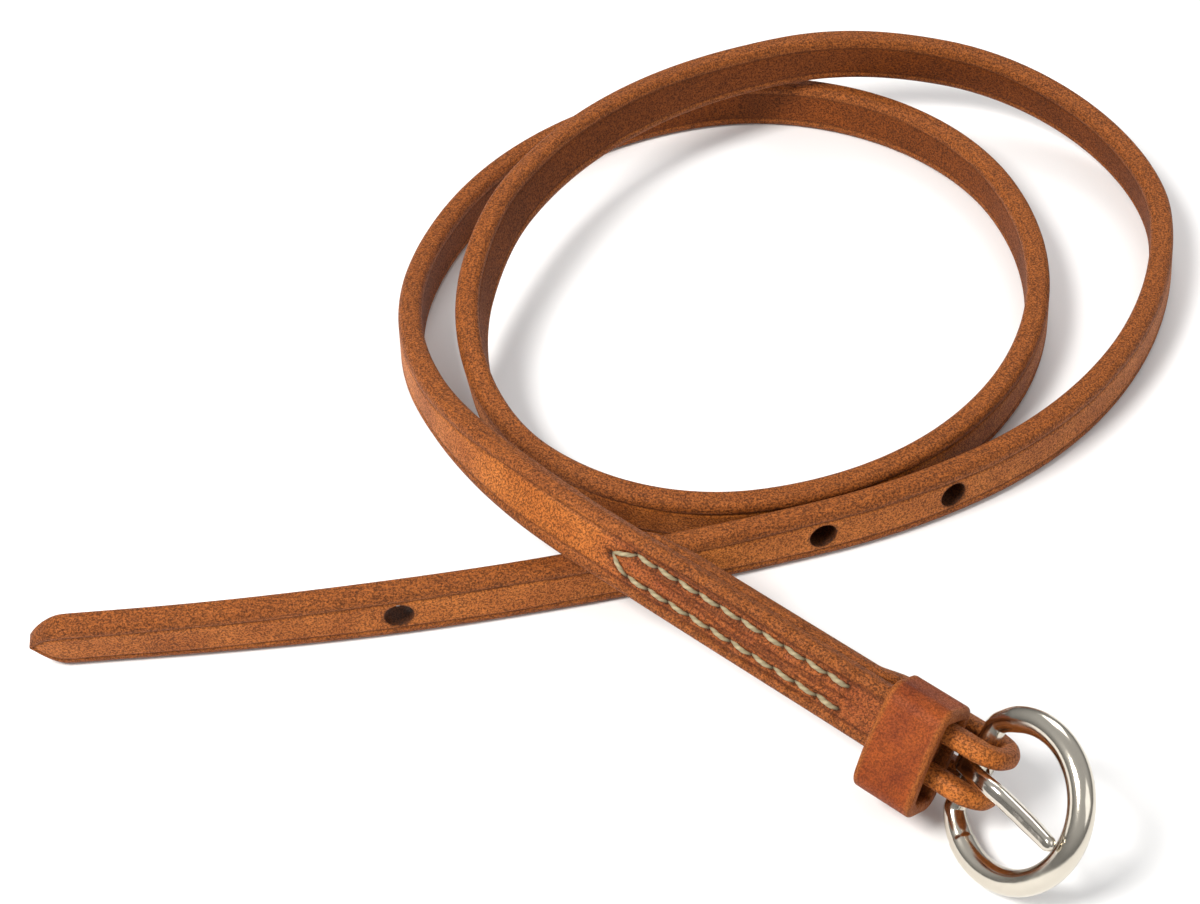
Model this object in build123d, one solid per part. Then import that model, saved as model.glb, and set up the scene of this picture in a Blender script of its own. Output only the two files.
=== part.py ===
from build123d import *
import math
import os

os.makedirs("parts", exist_ok=True)

# A narrow harness-leather strap with a sewn-on nickelled buckle and keeper, lying
# in a loose coil of two turns on its edge.  Millimetres, +Z up, floor at Z = 0.

# ---------------------------------------------------------------- driving sizes
strap_width = 9.5          # 3/8 in strap
strap_thick = 4.0          # one layer of leather
section_step = 7.0         # spacing of the sections along the coil

tip_length = 15.2          # straight end that carries the English point
tip_nose_r = 3.1           # rounded nose of the point
tip_taper = 6.0            # length over which the point narrows

hole_dia = 4.4             # punched buckle holes
hole_first = 55.2          # tip to the odd first hole
hole_second = 99.7         # tip to the first hole of the evenly spaced group
hole_pitch = 23.0
hole_group = 3

end_pitch = 3.1            # degrees, the sewn end runs down to the buckle
end_lean = 34.5            # degrees, its face is turned up by this much

bar_dia = 3.2              # heel bar of the buckle
ring_wire = 3.8            # round section of the buckle ring
ring_radius = 11.1         # to the middle of the wire
bar_side_clear = 0.35      # strap's edge to the ring wire beside it
bar_clear = 0.15           # leather fold to heel bar
ring_swing = 24.0          # degrees, the ring stands up from the strap's plane

tongue_dia = 2.4
tongue_eye_wall = 1.3      # metal wrapped round the heel bar
tongue_clear = 0.06        # running clearance of the eye on the bar
tongue_seat = 0.12         # tongue to rim
tongue_root = 0.14         # arm proud of the eye where it leaves it
slot_side_clear = 0.6      # tongue to each side of its slot in the fold
slot_end_clear = 2.04      # tongue's eye to the slot's end behind the heel bar

layer_gap = 0.10           # seam between the sewn layers
gap_blend = 4.3            # length over which the layers close behind the keeper
skive_length = 11.4        # length over which the back layer thins out
skive_edge = 0.5           # thickness left at its end

keeper_wall = 2.2
keeper_width = 9.5
keeper_edge = 3.7          # its near edge, behind the heel bar
keeper_play = 1.1          # room behind it between the layers
keeper_fit = 0.3           # round the front layer at the top and back
keeper_front = 1.3         # slack in front of the strap
keeper_below = 2.5         # slack under the strap's lower edge
keeper_corner = 2.6        # outer corner radius
keeper_slit = 0.15         # butt joint in the hidden wall

staple_wire = 0.7
staple_span = 5.0
staple_clear = 0.05

stitch_row = 1.85          # rows each side of the middle
stitch_pitch = 3.8
stitch_count = 10          # stitches in each row
stitch_margin = 1.3        # from where the layers meet to the first hole
thread_dia = 0.8
groove_width = 1.2
groove_depth = 0.45
awl_dia = 0.9              # stitch holes
leg_dia = 0.7              # thread where it passes through them
thread_seat = 0.05         # thread to leather, and to the other thread

# Places along the sewn end, measured back from the heel bar.
keeper_x = -keeper_edge - keeper_width / 2
gap_open = keeper_edge + keeper_width + keeper_play
gap_close = gap_open + gap_blend
stitch_start = gap_close + stitch_margin
skive_start = stitch_start + (stitch_count - 1) * stitch_pitch - 1.5
skive_end = skive_start + skive_length
lead_in = skive_end + 2.0  # straight run from where the coil stops to the heel bar

# The coil in plan is a chain of tangent arcs: length and turn in degrees.
start_point = (-95.175, -48.994)
start_heading = 6.0
coil_arcs = [
    (108.0, 12.0),         # tail
    (28.0, 12.5),
    (78.0, 52.0),          # right side of the outer turn
    (62.5, 93.5),
    (121.0, 83.0),         # over the inner turn, then down the left side
    (78.0, 111.0),
    (108.0, 98.0),         # inner turn
    (70.0, 87.0),
    (56.0, 46.0),
    (56.0, 48.0),
    (49.0, 32.5),
]
plan_length = tip_length + sum(length for length, turn in coil_arcs) + lead_in
lead_start = plan_length - lead_in

# Height of the lower edge above the floor: (distance from the tip, height, slope).
# The strap climbs over itself twice, so each climb clears one strap width.
crossing_height = strap_width + 1.5
edge_heights = [
    (0.0, 0.0, 0.0),
    (237.2, 0.0, 0.0),
    (323.2, crossing_height, 0.0),
    (392.2, crossing_height, 0.0),
    (453.2, 0.0, 0.0),
    (lead_start - 98.0, 0.0, 0.0),
    (lead_start, strap_width + 0.85, -math.tan(math.radians(end_pitch))),
]
# Lean of the strap from upright, top towards the middle of the coil, in degrees.
edge_leans = [
    (0.0, -10.0, 0.0),
    (5.2, -10.0, 0.0),
    (65.2, 0.0, 0.0),
    (187.2, 4.0, 0.0),
    (270.2, 13.0, 0.0),
    (331.2, 0.0, -0.25),
    (386.2, -15.0, 0.0),
    (455.2, -8.0, 0.0),
    (575.2, 5.0, 0.0),
    (645.2, 0.0, 0.0),
    (lead_start - 44.0, 0.0, 0.0),
    (lead_start, end_lean, 0.0),
]


# ---------------------------------------------------------------- the centreline
def hermite(keys, s):
    """Cubic through (position, value, slope) keys, straight on past the last."""
    if s >= keys[-1][0]:
        return keys[-1][1] + keys[-1][2] * (s - keys[-1][0])
    for (s0, v0, m0), (s1, v1, m1) in zip(keys, keys[1:]):
        if s <= s1:
            span = s1 - s0
            u = (s - s0) / span
            return (v0 * (2 * u**3 - 3 * u**2 + 1) + v1 * (3 * u**2 - 2 * u**3)
                    + span * (m0 * (u**3 - 2 * u**2 + u) + m1 * (u**3 - u**2)))


def plan_at(s):
    """Plan position and heading (radians) at distance s along the chain of arcs."""
    x, y = start_point
    heading = math.radians(start_heading)
    chain = [(tip_length, 0.0)] + coil_arcs + [(lead_in, 0.0)]
    for length, turn in chain:
        run = min(s, length)
        bend = math.radians(turn) / length
        if abs(bend) < 1e-9:
            x += run * math.cos(heading)
            y += run * math.sin(heading)
        else:
            x += (math.sin(heading + bend * run) - math.sin(heading)) / bend
            y -= (math.cos(heading + bend * run) - math.cos(heading)) / bend
        heading += bend * run
        s -= run
        if s <= 1e-9:
            break
    return x, y, heading


def strap_plane(s):
    """Section plane at s: local X up the width, local Y out of the face, Z along."""
    x, y, heading = plan_at(s)
    lean = math.radians(hermite(edge_leans, s))
    slope = (hermite(edge_heights, s + 0.5) - hermite(edge_heights, s - 0.5)
             if s > 0.5 else 0.0)
    rise = math.atan(slope)
    along = Vector(math.cos(heading) * math.cos(rise),
                   math.sin(heading) * math.cos(rise), math.sin(rise))
    right = Vector(math.sin(heading), -math.cos(heading), 0)
    up = right.cross(along)
    width_dir = up * math.cos(lean) - right * math.sin(lean)
    centre_height = (hermite(edge_heights, s) + strap_width / 2 * math.cos(lean)
                     + strap_thick / 2 * abs(math.sin(lean)))
    return Plane(origin=(x, y, centre_height), x_dir=width_dir, z_dir=along)


# The buckle end has its own frame: origin on the heel bar, X along the strap
# towards the ring, Y up the strap's width, Z out of its face.
end_section = strap_plane(plan_length)
face_dir = end_section.y_dir
front_mid = strap_thick / 2 + bar_dia / 2 + bar_clear
bar_origin = end_section.origin - face_dir * front_mid
end_frame = Plane(origin=bar_origin, x_dir=end_section.z_dir, z_dir=face_dir)
ring_frame = end_frame * Rotation(0, -ring_swing, 0)

half_width = strap_width / 2
bar_half = half_width + bar_side_clear + ring_wire / 2
slot_width = tongue_dia + 2 * slot_side_clear
slot_back = bar_dia / 2 + tongue_clear + tongue_eye_wall + slot_end_clear
fold_inner = bar_dia / 2 + bar_clear
fold_outer = fold_inner + strap_thick
back_top = fold_inner - layer_gap
back_bottom = back_top - strap_thick
lead_local = lead_in / math.cos(math.radians(end_pitch))


# ---------------------------------------------------------------- strap
def make_coil():
    """The coiled run, a ruled loft of width by thickness sections."""
    count = math.ceil((lead_start - tip_length) / section_step)
    stations = [tip_length + (lead_start - tip_length) * i / count
                for i in range(count + 1)]
    sections = [strap_plane(s) * Rectangle(strap_width, strap_thick)
                for s in stations]
    return loft(sections, ruled=True)


def make_tip():
    """Straight end, cut to a point with a rounded nose, seen on the face."""
    start = strap_plane(tip_length)
    nose = tip_length - tip_nose_r
    with BuildSketch() as outline:
        with BuildLine():
            Polyline((0, -half_width), (0, half_width),
                     (tip_length - tip_taper, half_width),
                     (nose, tip_nose_r), (nose, -tip_nose_r),
                     (tip_length - tip_taper, -half_width), close=True)
        make_face()
        with Locations((nose, 0)):
            Circle(tip_nose_r)
    # X of this plane runs from the coil to the point
    flat = Plane(origin=start.origin - start.y_dir * strap_thick / 2,
                 x_dir=-start.z_dir, z_dir=start.y_dir)
    return extrude(flat * outline.sketch, amount=strap_thick)


def make_sewn_end():
    """Front layer, fold round the heel bar and skived back layer, in one piece."""
    with BuildSketch(Plane.XZ) as side:
        with BuildLine():
            Line((-lead_local, fold_inner), (-lead_local, fold_outer))
            Line((-lead_local, fold_outer), (0, fold_outer))
            ThreePointArc((0, fold_outer), (fold_outer, 0), (0, -fold_outer))
            Polyline((0, -fold_outer), (-gap_open, -fold_outer + 0.5),
                     (-gap_close - 0.6, back_bottom), (-skive_start, back_bottom),
                     (-skive_end, back_top - skive_edge), (-skive_end, back_top),
                     (-gap_close, back_top), (-gap_open, -fold_inner + 0.5),
                     (0, -fold_inner))
            ThreePointArc((0, -fold_inner), (fold_inner, 0), (0, fold_inner))
            Line((0, fold_inner), (-lead_local, fold_inner))
        make_face()
    return extrude(side.sketch, amount=half_width, both=True)


def stitch_holes():
    """Hole places (x, y): along the upper row, round the point, back along the lower."""
    row = [-stitch_start - i * stitch_pitch for i in range(stitch_count + 1)]
    return ([(x, stitch_row) for x in row] + [(row[-1] - stitch_pitch, 0.0)]
            + [(x, -stitch_row) for x in reversed(row)])


def cut_sewn_end(end):
    """Tongue slot, stitching grooves and awl holes, cut in the buckle frame."""
    end -= Pos((fold_outer + 1 - slot_back) / 2, 0, 0) * Box(
        fold_outer + 1 + slot_back, slot_width, 2 * fold_outer + 2)
    holes = stitch_holes()
    turning = [holes[0], holes[stitch_count], holes[stitch_count + 1],
               holes[stitch_count + 2], holes[-1]]
    for (x0, y0), (x1, y1) in zip(turning, turning[1:]):
        groove = Rotation(0, 0, math.degrees(math.atan2(y1 - y0, x1 - x0))) * Box(
            math.hypot(x1 - x0, y1 - y0) + groove_width, groove_width, groove_depth)
        middle = ((x0 + x1) / 2, (y0 + y1) / 2)
        end -= Pos(*middle, fold_outer - groove_depth / 2) * groove
        if y0 == y1:
            end -= Pos(*middle, back_bottom + groove_depth / 2) * groove
    for x, y in holes:
        end -= Pos(x, y, 0) * Cylinder(awl_dia / 2, 4 * fold_outer)
    return end


def make_strap():
    body = make_coil() + make_tip()
    body += end_frame * cut_sewn_end(make_sewn_end())
    places = [hole_first] + [hole_second + i * hole_pitch for i in range(hole_group)]
    for s in places:
        body -= strap_plane(s) * Rotation(90, 0, 0) * Cylinder(
            hole_dia / 2, 3 * strap_thick)
    return body


# ---------------------------------------------------------------- stitching
skive_slope = (strap_thick - skive_edge) / (skive_end - skive_start)
front_surface = fold_outer - groove_depth


def back_surface(x):
    """Height of the back layer's face under a stitch, rising where it is skived."""
    return back_bottom + max(groove_depth, (-x - skive_start) * skive_slope)


def make_thread(run, surfaces, side):
    """A stitch from each hole to the next, with legs that meet the other thread."""
    seat = thread_dia / 2 + thread_seat
    knots = [Vector(x, y, z + side * seat) for (x, y), z in zip(run, surfaces)]
    lock = (fold_inner + back_top) / 2 + side * thread_seat
    thread = None
    for a, b in zip(knots, knots[1:]):
        stitch = Plane(origin=(a + b) / 2, z_dir=b - a) * Cylinder(
            thread_dia / 2, (b - a).length)
        thread = stitch if thread is None else thread + stitch
    for knot in knots:
        leg = Pos(knot.X, knot.Y, (knot.Z + lock) / 2) * Cylinder(
            leg_dia / 2, abs(knot.Z - lock))
        thread = thread + leg + Pos(*knot) * Sphere(thread_dia / 2)
    return thread


# ---------------------------------------------------------------- keeper
keeper_back = fold_inner - keeper_fit                      # inside of its hidden wall
keeper_face = fold_outer + keeper_front                    # inside of its front wall
keeper_top = half_width + keeper_fit
keeper_bottom = -half_width - keeper_below


def make_keeper():
    """A strip bent into a loop round the front layer, butted behind it."""
    inside_w = keeper_top - keeper_bottom
    inside_d = keeper_face - keeper_back
    middle = ((keeper_top + keeper_bottom) / 2, (keeper_face + keeper_back) / 2)
    with BuildSketch(Plane.YZ) as loop:
        with Locations(middle):
            RectangleRounded(inside_w + 2 * keeper_wall, inside_d + 2 * keeper_wall,
                             keeper_corner)
            RectangleRounded(inside_w, inside_d, keeper_corner - keeper_wall + 0.2,
                             mode=Mode.SUBTRACT)
    keeper = Pos(keeper_x, 0, 0) * extrude(loop.sketch, amount=keeper_width / 2,
                                           both=True)
    wall_mid = keeper_back - keeper_wall / 2
    keeper -= Pos(keeper_x, 0, wall_mid) * Box(
        keeper_width + 2, keeper_slit, keeper_wall + 0.4)
    keeper -= Pos(keeper_x, 0, keeper_back - 0.1) * Box(
        staple_wire + 0.2, staple_span + staple_wire + 0.2, 2 * staple_wire)
    for side in (1, -1):
        keeper -= Pos(keeper_x, side * staple_span / 2, wall_mid) * Cylinder(
            staple_wire / 2 + staple_clear, keeper_wall + 1)
    return keeper


def make_staple():
    """Wire staple that closes the butt joint, its crown sunk in the leather."""
    crown_z = keeper_back - 0.1 - staple_wire / 2
    crown = Pos(keeper_x, 0, crown_z) * Rotation(90, 0, 0) * Cylinder(
        staple_wire / 2, staple_span)
    foot = keeper_back - keeper_wall + 0.1
    for side in (1, -1):
        place = Pos(keeper_x, side * staple_span / 2, (crown_z + foot) / 2)
        crown += place * Cylinder(staple_wire / 2, crown_z - foot)
        crown += Pos(keeper_x, side * staple_span / 2, crown_z) * Sphere(
            staple_wire / 2)
    return crown


# ---------------------------------------------------------------- buckle
ring_centre = math.sqrt(ring_radius**2 - bar_half**2)      # from the heel bar


def make_frame():
    """Round-wire ring closed by a straight heel bar, cast in one piece."""
    sweep_angle = 360 - 2 * math.degrees(math.asin(bar_half / ring_radius))
    start = Pos(0, 0, 0) * Plane.XZ * Pos(ring_radius, 0) * Circle(ring_wire / 2)
    wire = revolve(start, Axis.Z, sweep_angle)
    wire = Pos(ring_centre, 0, 0) * Rotation(0, 0, -sweep_angle / 2) * wire
    bar = Rotation(90, 0, 0) * Cylinder(bar_dia / 2, 2 * bar_half)
    for side in (1, -1):
        wire += Pos(0, side * bar_half, 0) * Sphere(ring_wire / 2)
    return wire + bar


def make_tongue():
    """Round tongue with an eye round the bar, lying on the rim, a little askew."""
    eye_in = bar_dia / 2 + tongue_clear
    eye_out = eye_in + tongue_eye_wall
    arm_z = ring_wire / 2 + tongue_dia / 2 + tongue_seat
    tip_x = ring_centre + ring_radius - 0.5
    root_z = eye_out - tongue_dia / 2 + tongue_root
    path = Spline((-0.3, 0.1, root_z), (fold_outer - 0.75, 0.3, arm_z - 0.1),
                  (0.6 * tip_x, -0.1, arm_z - 0.3), (tip_x, -1.4, arm_z),
                  tangents=((1, 0, 0.25), (1, -0.2, 0.1)))
    profile = Plane(origin=path @ 0, z_dir=path % 0) * Circle(tongue_dia / 2)
    arm = sweep(profile, path=path)
    arm += Pos(*(path @ 1)) * Sphere(tongue_dia / 2)
    eye = Rotation(90, 0, 0) * Cylinder(eye_out, tongue_dia + 0.4)
    bore = Rotation(90, 0, 0) * Cylinder(eye_in, 4 * tongue_dia)
    return arm + eye - bore


# ---------------------------------------------------------------- export
seam = stitch_holes()
nodes = {
    "strap": make_strap(),
    "thread_face": end_frame * make_thread(seam, [front_surface] * len(seam), 1),
    "thread_back": end_frame * make_thread(
        seam, [back_surface(x) for x, y in seam], -1),
    "keeper_loop": end_frame * make_keeper(),
    "keeper_staple": end_frame * make_staple(),
    "buckle_frame": ring_frame * make_frame(),
    "buckle_tongue": ring_frame * make_tongue(),
}
for name, shape in nodes.items():
    export_step(shape, f"parts/{name}.step")
    solids = shape.solids()
    box = shape.bounding_box()
    print(name, len(solids), "solids", round(sum(s.volume for s in solids), 1),
          [round(v, 2) for v in (*box.min, *box.max)])
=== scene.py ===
import math

import bpy
import numpy as np
from mathutils import Matrix, Vector


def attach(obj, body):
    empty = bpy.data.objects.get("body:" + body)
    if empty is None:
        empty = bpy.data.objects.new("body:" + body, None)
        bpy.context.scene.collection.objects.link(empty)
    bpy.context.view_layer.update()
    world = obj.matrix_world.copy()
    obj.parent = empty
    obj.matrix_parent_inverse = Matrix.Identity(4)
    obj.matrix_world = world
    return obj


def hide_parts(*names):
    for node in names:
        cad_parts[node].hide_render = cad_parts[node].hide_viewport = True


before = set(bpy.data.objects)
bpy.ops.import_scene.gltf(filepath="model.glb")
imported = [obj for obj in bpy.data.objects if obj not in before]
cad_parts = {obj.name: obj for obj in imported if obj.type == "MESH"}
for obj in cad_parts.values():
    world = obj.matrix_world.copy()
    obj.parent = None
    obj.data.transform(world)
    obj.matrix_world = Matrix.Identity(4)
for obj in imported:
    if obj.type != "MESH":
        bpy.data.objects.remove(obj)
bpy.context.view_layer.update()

# ------------------------------------------------------------------ table and light
# A plain pale table top, seen by one camera that looks down on the coil at about
# forty-four degrees, under broad soft studio lamps and a pale surround.
table_size = 12.0
bpy.ops.mesh.primitive_plane_add(size=table_size, location=(0, 0, 0))
table = bpy.context.object
table.name = "table_top"

table_paint = bpy.data.materials.new("pale_table")
table_paint.use_nodes = True
table_coat = table_paint.node_tree.nodes["Principled BSDF"]
table_coat.inputs["Base Color"].default_value = (0.90, 0.90, 0.90, 1)
table_coat.inputs["Roughness"].default_value = 0.7
table.data.materials.append(table_paint)

look_at = Vector((-0.00965, -0.0029, 0.0))                 # middle of the view
look_down = math.radians(44)
look_distance = 0.3667
eye_dir = Vector((0, -math.cos(look_down), math.sin(look_down)))
camera_data = bpy.data.cameras.new("camera")
camera_data.lens = 66
camera_data.sensor_width = 36
camera_data.clip_start = 0.01
camera = bpy.data.objects.new("camera", camera_data)
camera.location = look_at + eye_dir * look_distance
camera.rotation_euler = (math.pi / 2 - look_down, 0, 0)
bpy.context.collection.objects.link(camera)
bpy.context.scene.camera = camera


def soft_lamp(name, place, size, power, colour=(1, 1, 1)):
    """A square area lamp at `place`, turned to face the middle of the coil."""
    lamp = bpy.data.lights.new(name, "AREA")
    lamp.size, lamp.energy, lamp.color = size, power, colour
    holder = bpy.data.objects.new(name, lamp)
    holder.location = place
    holder.rotation_euler = (-Vector(place)).to_track_quat("-Z", "Y").to_euler()
    bpy.context.collection.objects.link(holder)


# place and size in metres, power in watts; the key lamp is warm and to the left
soft_lamp("key_lamp", (-0.50, -0.32, 0.72), 0.30, 9.8, (1.0, 0.98, 0.95))
soft_lamp("fill_lamp", (0.55, -0.45, 0.50), 0.50, 0.9)
soft_lamp("back_lamp", (0.15, 0.60, 0.55), 0.40, 1.7)

world = bpy.data.worlds.new("surround")
world.use_nodes = True
bpy.context.scene.world = world
sky = world.node_tree
sky_place = sky.nodes.new("ShaderNodeTexCoord")
sky_split = sky.nodes.new("ShaderNodeSeparateXYZ")
sky_ramp = sky.nodes.new("ShaderNodeValToRGB")
low_sky, high_sky = sky_ramp.color_ramp.elements            # grey level to pale top
low_sky.position, low_sky.color = 0.03, (0.30, 0.30, 0.30, 1)
high_sky.position, high_sky.color = 0.55, (1.0, 1.0, 1.0, 1)
sky.links.new(sky_place.outputs["Generated"], sky_split.inputs[0])
sky.links.new(sky_split.outputs["Z"], sky_ramp.inputs[0])
sky.links.new(sky_ramp.outputs[0], sky.nodes["Background"].inputs["Color"])
sky.nodes["Background"].inputs["Strength"].default_value = 0.55
bpy.context.scene.view_settings.view_transform = "Standard"

# ------------------------------------------------------------------ strap
# One length of russet harness leather, 3/8 in wide and as thick as a good rein, its
# edges rounded and burnished and a crease run along each side of the grain face.
# The tail is cut to a point and punched; the other end folds round the heel bar.
mm = 0.001
strap_width = 9.5
strap_thick = 4.0
edge_round = 1.35          # rounding of the strap's long edges
crease_in = 1.95           # crease from the edge
crease_depth = 0.20
tip_length = 15.2
tip_taper = 6.5            # length over which the rounded point narrows
tip_roundness = 2.4, 0.62  # powers of the point's outline, a superellipse
punch_dia = 4.4
punch_places = (55.2, 99.7, 122.7, 145.7)
bar_dia = 3.2              # heel bar of the buckle
bar_clear = 0.15           # leather fold to heel bar
sewn_length = 66.0         # straight run of two layers, up to the heel bar
sewn_pitch = 3.1           # degrees, it runs down to the buckle
sewn_lean = 34.5           # degrees, its face is turned up by this much
sewn_edge = 0.85           # strap's edge over the run that it crosses

start_point = (-95.175, -48.994)
start_heading = 6.0
coil_arcs = ((tip_length, 0.0), (108.0, 12.0), (28.0, 12.5), (78.0, 52.0),
             (62.5, 93.5), (121.0, 83.0), (78.0, 111.0), (108.0, 98.0),
             (70.0, 87.0), (56.0, 46.0), (56.0, 48.0), (49.0, 32.5),
             (sewn_length, 0.0))                           # length, degrees turned
strap_run = sum(length for length, turn in coil_arcs)      # tip to heel bar
sewn_start = strap_run - sewn_length
lift = strap_width + 1.5                                   # height of the crossing
# (place along the strap, value, slope): lower edge over the table, degrees of lean
heights = ((0, 0, 0), (237.2, 0, 0), (323.2, lift, 0), (392.2, lift, 0), (453.2, 0, 0),
           (sewn_start - 98, 0, 0),
           (sewn_start, strap_width + sewn_edge, -math.tan(math.radians(sewn_pitch))))
leans = ((0, -10, 0), (5.2, -10, 0), (65.2, 0, 0), (187.2, 4, 0), (270.2, 13, 0),
         (331.2, 0, -0.25), (386.2, -15, 0), (455.2, -8, 0), (575.2, 5, 0), (645.2, 0, 0),
         (sewn_start - 44, 0, 0), (sewn_start, sewn_lean, 0))


def along_keys(keys, s):
    """Cubic Hermite through (place, value, slope) keys, straight past the last."""
    place, value, slope = np.array(keys, float).T
    i = np.clip(np.searchsorted(place, s, side="right") - 1, 0, len(place) - 2)
    span = place[i + 1] - place[i]
    u = (s - place[i]) / span
    curve = (value[i] * (2 * u**3 - 3 * u**2 + 1) + value[i + 1] * (3 * u**2 - 2 * u**3)
             + span * (slope[i] * (u**3 - 2 * u**2 + u) + slope[i + 1] * (u**3 - u**2)))
    return np.where(s > place[-1], value[-1] + slope[-1] * (s - place[-1]), curve)


def strap_frame(s):
    """Middle of the strap's section, its across, outward and forward directions.

    The plan is a chain of tangent arcs: on each, the heading grows evenly with the
    distance s and the place is the integral of (cos heading, sin heading).
    """
    length, turn = np.array(coil_arcs).T
    bend = np.radians(turn) / length
    begin = np.concatenate([[0], np.cumsum(length)])[:-1]
    heads = math.radians(start_heading) + np.concatenate([[0], np.cumsum(bend * length)])
    safe = np.where(abs(bend) < 1e-9, 1, bend)
    step = np.where(abs(bend) < 1e-9, length * np.exp(1j * heads[:-1]),
                    (np.exp(1j * heads[1:]) - np.exp(1j * heads[:-1])) / (1j * safe))
    places = complex(*start_point) + np.concatenate([[0], np.cumsum(step)])
    i = np.clip(np.searchsorted(begin, s, side="right") - 1, 0, len(begin) - 1)
    run = s - begin[i]
    head = heads[i] + bend[i] * run
    plan = places[i] + np.where(
        abs(bend[i]) < 1e-9, run * np.exp(1j * heads[i]),
        (np.exp(1j * head) - np.exp(1j * heads[i])) / (1j * safe[i]))
    lean = np.radians(along_keys(leans, s))
    rise = np.arctan((along_keys(heights, s + 0.5)
                      - along_keys(heights, np.maximum(s - 0.5, 0))))
    forward = np.stack([np.cos(head) * np.cos(rise), np.sin(head) * np.cos(rise),
                        np.sin(rise)], 1)
    right = np.stack([np.sin(head), -np.cos(head), 0 * head], 1)
    up = np.cross(right, forward)
    across = up * np.cos(lean)[:, None] - right * np.sin(lean)[:, None]
    out = right * np.cos(lean)[:, None] + up * np.sin(lean)[:, None]
    middle = np.stack([plan.real, plan.imag, along_keys(heights, s)
                       + strap_width / 2 * np.cos(lean)
                       + strap_thick / 2 * abs(np.sin(lean))], 1)
    return middle, across, out, forward


# directions at the sewn end: X to the ring, Y up the width, Z out of the face
end_mid, end_y, end_z, end_x = (v[0] for v in strap_frame(np.array([strap_run])))
front_mid = strap_thick / 2 + bar_dia / 2 + bar_clear      # heel bar to front layer
bar_place = end_mid - end_z * front_mid


def from_end(points):
    """Points of the sewn end's own frame, origin on the heel bar, in the object's."""
    return bar_place + points @ np.stack([end_x, end_y, end_z])


def round_ring(face, corner, side):
    """Constants of a rounded rectangle with half sizes a, b and corner radius r.

    Each point is (fx * (a - r) + cx * r, fy * (b - r) + cy * r); the ring runs
    round the outer face, one edge, the inner face and the other edge.
    """
    flat = np.linspace(1, -1, face, endpoint=False)
    wall = np.linspace(1, -1, side, endpoint=False)
    turn = np.linspace(0, np.pi / 2, corner, endpoint=False)
    one = np.ones
    fx = np.concatenate([flat, -one(corner), -one(side), -one(corner),
                         -flat, one(corner), one(side), one(corner)])
    fy = np.concatenate([one(face), one(corner), wall, -one(corner),
                         -one(face), -one(corner), -wall, one(corner)])
    angle = np.concatenate([np.full(face, np.pi / 2), np.pi / 2 + turn,
                            np.full(side, np.pi), np.pi + turn,
                            np.full(face, 1.5 * np.pi), 1.5 * np.pi + turn,
                            np.zeros(side), turn])
    return fx, fy, np.cos(angle), np.sin(angle)


def ring_points(ring, a, b, r):
    """The ring's points for arrays of half width a, half thickness b and radius r."""
    fx, fy, cx, cy = ring
    a, b, r = (np.atleast_1d(v).astype(float)[:, None] for v in (a, b, r))
    return fx * (a - r) + cx * r, fy * (b - r) + cy * r


class Skin:
    """Gathers grids of points into one mesh with a UV map and point masks."""

    def __init__(self):
        self.points, self.faces, self.uvs, self.masks, self.count = [], [], [], {}, 0

    def add(self, grid, u, v, caps=True, loop=False, **masks):
        """Grid (stations, ring, 3): quads between stations, the ring closed."""
        rows, ring = grid.shape[:2]
        index = np.arange(rows * ring).reshape(rows, ring) + self.count
        nxt = np.concatenate([index[1:], index[:1]]) if loop else index[1:]
        here = index if loop else index[:-1]
        quads = np.stack([here, np.roll(here, -1, 1), np.roll(nxt, -1, 1), nxt], -1)
        self.faces += quads.reshape(-1, 4).tolist()
        u = np.broadcast_to(np.asarray(u, float).reshape(rows, -1), (rows, ring))
        v = np.broadcast_to(v, (rows, ring))
        step = v[:, 1:2] - v[:, :1]
        wide = np.concatenate([v, v[:, -1:] + step], 1)
        tall = np.concatenate([u, u[:, -1:]], 1)
        if loop:
            wide = np.concatenate([wide, wide[:1]])
            tall = np.concatenate([tall, 2 * tall[-1:] - tall[-2:-1]])
        uv = np.stack([tall, wide], -1)
        corner = np.stack([uv[:-1, :-1], uv[:-1, 1:], uv[1:, 1:], uv[1:, :-1]], 2)
        self.uvs.append(corner.reshape(-1, 2))
        if caps and not loop:
            for ends, row in ((index[0][::-1], 0), (index[-1], -1)):
                self.faces.append(ends.tolist())
                self.uvs.append(np.repeat(uv[row, :1], ring, 0))
        self.points.append(grid.reshape(-1, 3))
        for name in set(self.masks) | set(masks):
            have = self.masks.setdefault(name, [np.zeros(self.count)])
            have.append(np.broadcast_to(masks.get(name, 0.0), (rows, ring)).ravel())
        self.count += rows * ring

    def build(self, name):
        """The finished piece, in metres, with smooth faces turned outward."""
        mesh = bpy.data.meshes.new(name)
        mesh.from_pydata((np.concatenate(self.points) * mm).tolist(), [], self.faces)
        mesh.uv_layers.new(name="UVMap").data.foreach_set(
            "uv", np.concatenate(self.uvs).ravel().astype(np.float32))
        for mask, parts in self.masks.items():
            mesh.attributes.new(mask, "FLOAT", "POINT").data.foreach_set(
                "value", np.concatenate(parts).astype(np.float32))
        mesh.polygons.foreach_set("use_smooth", [True] * len(mesh.polygons))
        mesh.update()
        if sum(p.area * p.center.dot(p.normal) for p in mesh.polygons) < 0:
            mesh.flip_normals()
        piece = bpy.data.objects.new(name, mesh)
        bpy.context.collection.objects.link(piece)
        return piece


def bell(x, width):
    """A bell curve, one at x = 0 and dying away over `width`."""
    return np.exp(-(x / width) ** 2)


def ease(x):
    """Smooth step from 0 to 1 while x goes from 0 to 1."""
    x = np.clip(x, 0, 1)
    return x * x * (3 - 2 * x)


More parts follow.
